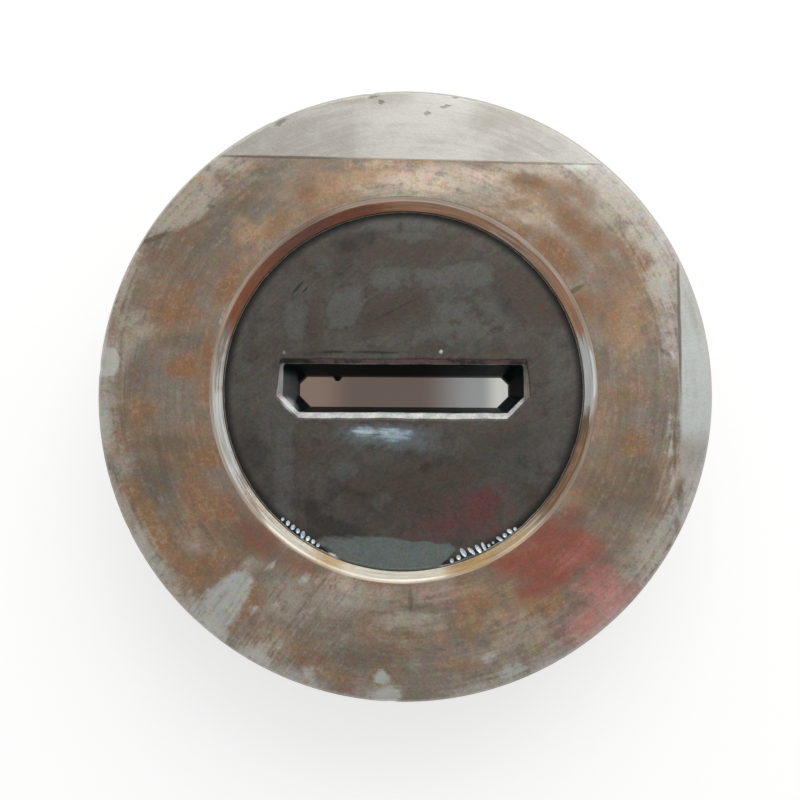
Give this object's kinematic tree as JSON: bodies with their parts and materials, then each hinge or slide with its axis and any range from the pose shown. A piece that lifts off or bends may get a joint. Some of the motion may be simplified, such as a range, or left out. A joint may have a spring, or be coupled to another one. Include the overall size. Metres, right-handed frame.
{
  "type": "drawing die",
  "caption": "Round drawing die for flat bar: a steel casing around a recessed carbide nib with a tapered, chamfer-cornered slot.",
  "frame": {"origin": "centre of the casing's back face, on the draw axis", "axes": "+Z along the draw axis from the back face to the entry face, +X along the throat's wide side, +Y across the throat towards the side with the small corner chamfers"},
  "size_m": [0.225, 0.225, 0.065],
  "materials": {
    "casing_steel": "turned tool steel, handled and stored bare: brown temper and rust clouds over grey, a red stain",
    "nib_carbide": "ground and lapped sintered carbide, dark grey with a mottled brown and green-grey film"
  },
  "bodies": {
    "root": {"casing": "casing_steel", "nib": "nib_carbide"}
  },
  "joints": []
}
